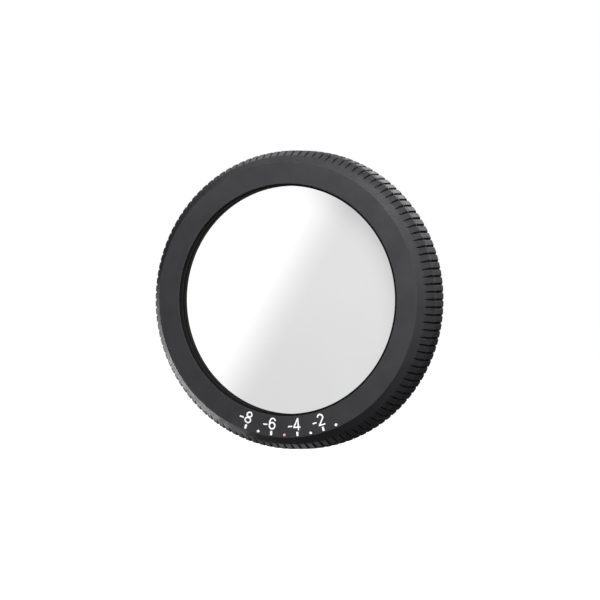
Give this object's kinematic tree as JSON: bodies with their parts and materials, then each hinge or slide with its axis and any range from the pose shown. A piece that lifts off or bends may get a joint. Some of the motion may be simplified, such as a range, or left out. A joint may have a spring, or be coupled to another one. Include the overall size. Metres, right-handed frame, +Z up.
{
  "type": "adjustable dioptre ring",
  "caption": "Round black adjustable lens ring for an optical instrument: a knurled ring with a minus scale turns on a fixed knurled ring and slides a lens cell along its axis.",
  "frame": {"origin": "on the optical axis, in the plane of the fixed ring's rear seat", "axes": "+Y along the optical axis, from the glass towards the instrument; the scaled face looks to -Y; +Z up, with the scale at the bottom"},
  "size_m": [0.0562, 0.0123, 0.0562],
  "materials": {
    "black_anodised": "fine matte black anodised, slightly brighter on worn edges",
    "cell_black": "dull black anodised against stray light",
    "coated_glass": "polished, with a bright reflecting coat that looks white to pale grey",
    "rear_glass": "polished and coated",
    "black_rubber": "smooth rubber",
    "spring_steel": "bright spring steel",
    "screw_steel": "turned stainless steel",
    "brass": "turned brass",
    "white_ptfe": "waxy matte white",
    "white_print": "matte white ink",
    "red_print": "matte red ink"
  },
  "bodies": {
    "fixed_body": {"rear_ring": "black_anodised", "mount_collar": "black_anodised", "guide_barrel": "cell_black", "damping_o_ring": "black_rubber", "snap_ring": "spring_steel", "wave_spring": "spring_steel", "stop_pin": "spring_steel", "glide_washer": "white_ptfe", "index_dot": "white_print", "collar_screw_1": "screw_steel", "collar_screw_2": "screw_steel", "collar_screw_3": "screw_steel", "collar_screw_4": "screw_steel"},
    "turning_ring": {"front_ring": "black_anodised", "reference_dot": "red_print", "scale_numeral_8": "white_print", "minus_sign_8": "white_print", "scale_bar_8": "white_print", "scale_numeral_6": "white_print", "minus_sign_6": "white_print", "scale_bar_6": "white_print", "scale_numeral_4": "white_print", "minus_sign_4": "white_print", "scale_bar_4": "white_print", "scale_numeral_2": "white_print", "minus_sign_2": "white_print", "scale_bar_2": "white_print", "scale_dot_7": "white_print", "scale_dot_3": "white_print", "scale_dot_1": "white_print"},
    "sliding_cell": {"lens_cell": "cell_black", "front_retaining_ring": "cell_black", "front_lens": "coated_glass", "lens_gasket": "black_rubber", "rear_lens": "rear_glass", "rear_retaining_ring": "cell_black", "follower_pin_1": "spring_steel", "follower_roller_1": "brass", "follower_pin_2": "spring_steel", "follower_roller_2": "brass", "follower_pin_3": "spring_steel", "follower_roller_3": "brass"}
  },
  "joints": [
    {"name": "ring_turn", "type": "hinge", "parent": "fixed_body", "child": "turning_ring", "pos_m": [0, 0, 0], "axis": [0, -1, 0], "range_deg": [-12, 30]},
    {"name": "cell_slide", "type": "slide", "parent": "fixed_body", "child": "sliding_cell", "axis": [0, 1, 0], "range_m": [-0.00042, 0.00102]}
  ],
  "couplings": [
    {"joint": "cell_slide", "follows": "ring_turn", "m_per_rad": 0.0019099}
  ]
}
